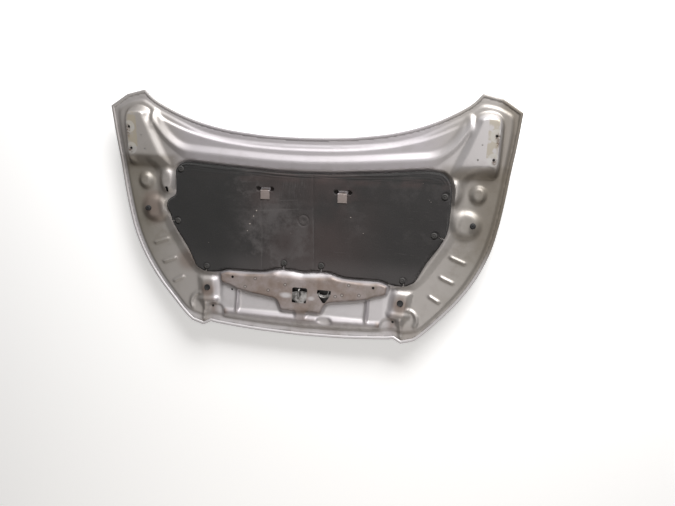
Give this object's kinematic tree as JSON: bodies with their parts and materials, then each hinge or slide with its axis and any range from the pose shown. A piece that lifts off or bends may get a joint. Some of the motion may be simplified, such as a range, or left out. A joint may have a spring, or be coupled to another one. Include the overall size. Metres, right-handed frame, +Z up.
{
  "type": "car bonnet",
  "caption": "Pressed steel car bonnet shown from its underside: hemmed outer skin, ribbed inner panel, moulded insulation pad, clips, striker and buffers.",
  "frame": {"origin": "middle of the bonnet in plan, at the height of the lowest point of its outer skin, on which it rests", "axes": "+X across the car, +Y towards the windscreen edge, +Z up, from the outer skin to the underside"},
  "size_m": [1.44, 0.8794, 0.1108],
  "materials": {
    "body_paint": "silver metallic paint, worn and dusty",
    "pad_felt": "moulded black fibre pad with a matt facing",
    "clip_plastic": "black moulded plastic",
    "bare_steel": "bright zinc-plated steel",
    "buffer_rubber": "black rubber",
    "mastic": "grey anti-flutter mastic"
  },
  "bodies": {
    "root": {"outer_skin": "body_paint", "inner_panel": "body_paint", "insulation_pad": "pad_felt", "clip_front_right": "clip_plastic", "clip_front_left": "clip_plastic", "clip_middle_right": "clip_plastic", "clip_middle_left": "clip_plastic", "clip_side_right": "clip_plastic", "clip_side_left": "clip_plastic", "clip_rear_right": "clip_plastic", "clip_rear_left": "clip_plastic", "pad_hook_right": "body_paint", "pad_hook_left": "body_paint", "hinge_reinforcement_right": "bare_steel", "hinge_nut_right_1": "bare_steel", "hinge_nut_right_2": "bare_steel", "hinge_reinforcement_left": "bare_steel", "hinge_nut_left_1": "bare_steel", "hinge_nut_left_2": "bare_steel", "latch_reinforcement": "bare_steel", "striker_bracket": "bare_steel", "striker": "bare_steel", "catch_bracket": "bare_steel", "safety_catch": "bare_steel", "side_buffer_right": "buffer_rubber", "side_buffer_left": "buffer_rubber", "corner_plug_right": "buffer_rubber", "corner_plug_left": "buffer_rubber", "mastic_dab_1": "mastic", "mastic_dab_2": "mastic", "mastic_dab_3": "mastic", "mastic_dab_4": "mastic", "mastic_dab_5": "mastic", "mastic_dab_6": "mastic"}
  },
  "joints": []
}
